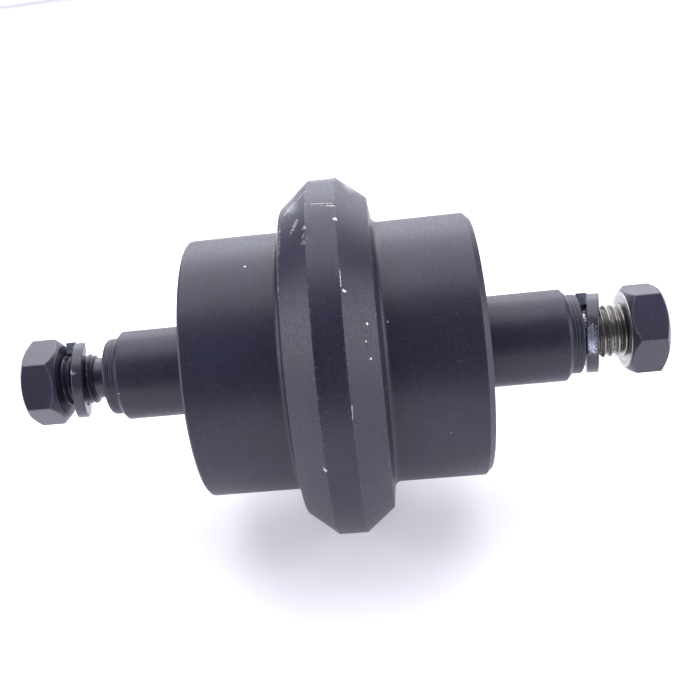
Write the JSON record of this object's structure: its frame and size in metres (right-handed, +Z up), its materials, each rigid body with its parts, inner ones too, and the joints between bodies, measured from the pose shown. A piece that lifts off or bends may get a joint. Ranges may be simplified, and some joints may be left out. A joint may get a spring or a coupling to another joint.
{
  "type": "track roller",
  "caption": "Centre-flange track roller for a small tracked machine: a sealed body that turns on a through shaft, with a bolt and spring washer in each shaft end.",
  "frame": {"origin": "on the shaft's axis, at the middle of the roller body", "axes": "+Y along the shaft, towards the end with the shorter spigot and the oil plug; +Z up; +X towards the side on which the left spring washer leans towards the body"},
  "size_m": [0.136, 0.2443, 0.136],
  "materials": {
    "body_paint": "satin blue-black paint over forged steel, scuffed and chipped on the flange",
    "shaft_paint": "satin blue-black paint over turned steel",
    "bush_bronze": "machined bronze",
    "collar_iron": "painted cast iron",
    "ring_steel": "phosphated spring steel",
    "seal_rubber": "matt nitrile rubber",
    "seal_metal": "lapped white iron",
    "plug_steel": "oiled steel",
    "bolt_black": "blackened steel, bright under the head and along the thread",
    "washer_black": "blackened spring steel, bright on the cut ends and worn on the rim"
  },
  "bodies": {
    "shaft_group": {"shaft": "shaft_paint", "collar_left": "collar_iron", "collar_right": "collar_iron", "retaining_ring_left": "ring_steel", "retaining_ring_right": "ring_steel", "shaft_oring_left": "seal_rubber", "shaft_oring_right": "seal_rubber", "seal_ring_static_left": "seal_metal", "seal_ring_static_right": "seal_metal", "toric_static_left": "seal_rubber", "toric_static_right": "seal_rubber", "oil_plug": "plug_steel"},
    "roller": {"roller_shell": "body_paint", "bush_left": "bush_bronze", "bush_right": "bush_bronze", "seal_ring_running_left": "seal_metal", "seal_ring_running_right": "seal_metal", "toric_running_left": "seal_rubber", "toric_running_right": "seal_rubber"},
    "bolt_left": {"bolt_left": "bolt_black", "spring_washer_left": "washer_black"},
    "bolt_right": {"bolt_right": "bolt_black"},
    "washer_right": {"spring_washer_right": "washer_black"}
  },
  "joints": [
    {"name": "roller_spin", "type": "hinge", "parent": "shaft_group", "child": "roller", "pos_m": [0, 0, 0], "axis": [0, 1, 0], "continuous": true},
    {"name": "bolt_left_screw", "type": "slide", "parent": "shaft_group", "child": "bolt_left", "axis": [0, -1, 0], "range_m": [-0.0075, 0.06]},
    {"name": "bolt_right_screw", "type": "slide", "parent": "shaft_group", "child": "bolt_right", "axis": [0, 1, 0], "range_m": [0, 0.06]},
    {"name": "washer_right_slide", "type": "slide", "parent": "bolt_right", "child": "washer_right", "axis": [0, 1, 0], "range_m": [0, 0.0073]}
  ]
}
